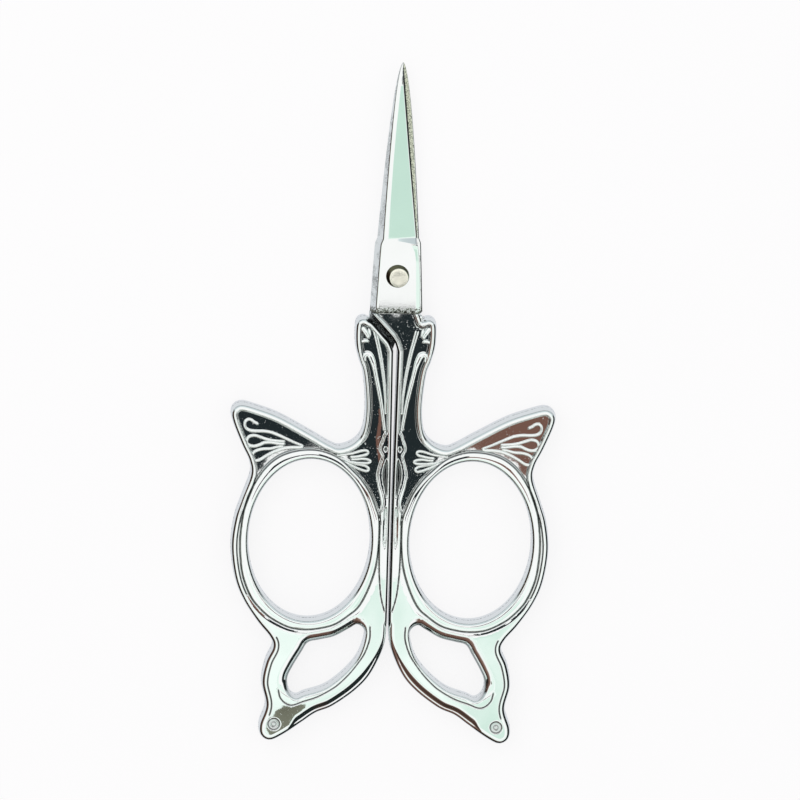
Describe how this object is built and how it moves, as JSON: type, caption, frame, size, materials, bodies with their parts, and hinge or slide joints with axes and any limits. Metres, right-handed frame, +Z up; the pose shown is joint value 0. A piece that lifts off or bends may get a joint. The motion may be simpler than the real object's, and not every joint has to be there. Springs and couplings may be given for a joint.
{
  "type": "embroidery scissors",
  "caption": "Small embroidery scissors with slim pointed blades on a riveted pivot and chrome-plated cast handles shaped like a butterfly's wings around oval finger rings.",
  "frame": {"origin": "on the table, under the middle of the scissors' closed outline", "axes": "+Y runs along the closed blades to the points, +Z is up through the thickness of the scissors as they lie flat, +X is to the right of the front half's handle"},
  "size_m": [0.042, 0.09, 0.0037],
  "materials": {
    "blade_steel": "ground and polished",
    "handle_chrome": "bright plated casting",
    "rivet_metal": "satin, nickel washed"
  },
  "bodies": {
    "lower_half": {"left_handle": "handle_chrome", "back_blade": "blade_steel", "pivot_rivet": "rivet_metal"},
    "upper_half": {"right_handle": "handle_chrome", "front_blade": "blade_steel"}
  },
  "joints": [
    {"name": "blade_pivot", "type": "hinge", "parent": "lower_half", "child": "upper_half", "pos_m": [0, 0.01705, 0.00185], "axis": [0, 0, 1], "range_deg": [0, 115]}
  ]
}
